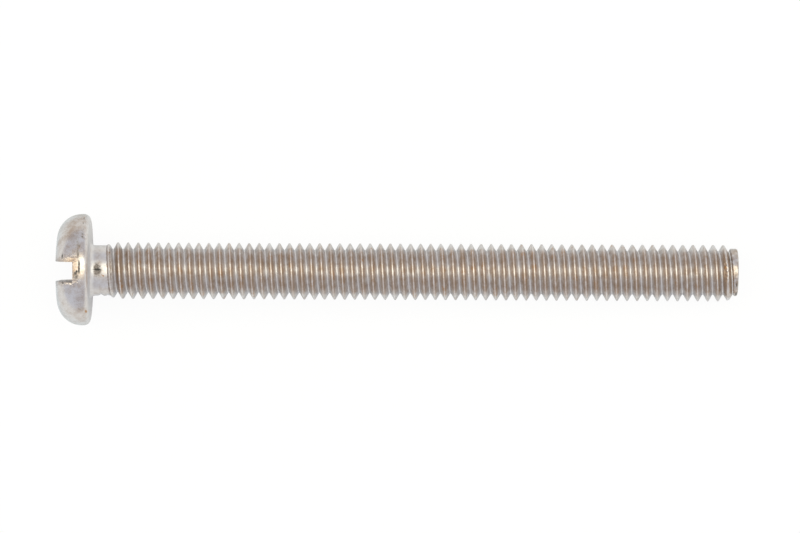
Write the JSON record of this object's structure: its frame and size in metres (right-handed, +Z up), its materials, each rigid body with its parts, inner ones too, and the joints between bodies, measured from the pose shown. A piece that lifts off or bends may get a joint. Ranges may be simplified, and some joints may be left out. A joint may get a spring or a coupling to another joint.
{
  "type": "machine screw",
  "caption": "Slotted pan head machine screw with a plain neck and a fine right-hand thread down to a rounded point.",
  "frame": {"origin": "on the table under the middle of the screw as it lies at rest", "axes": "+X from the head to the point, +Z up from the table; the screw's own axis dips 2.5 degrees towards the point"},
  "size_m": [0.0473, 0.0077, 0.0077],
  "materials": {
    "plated_steel": "bright plated steel, a little tarnished and scuffed"
  },
  "bodies": {
    "root": {"machine_screw": "plated_steel"}
  },
  "joints": []
}
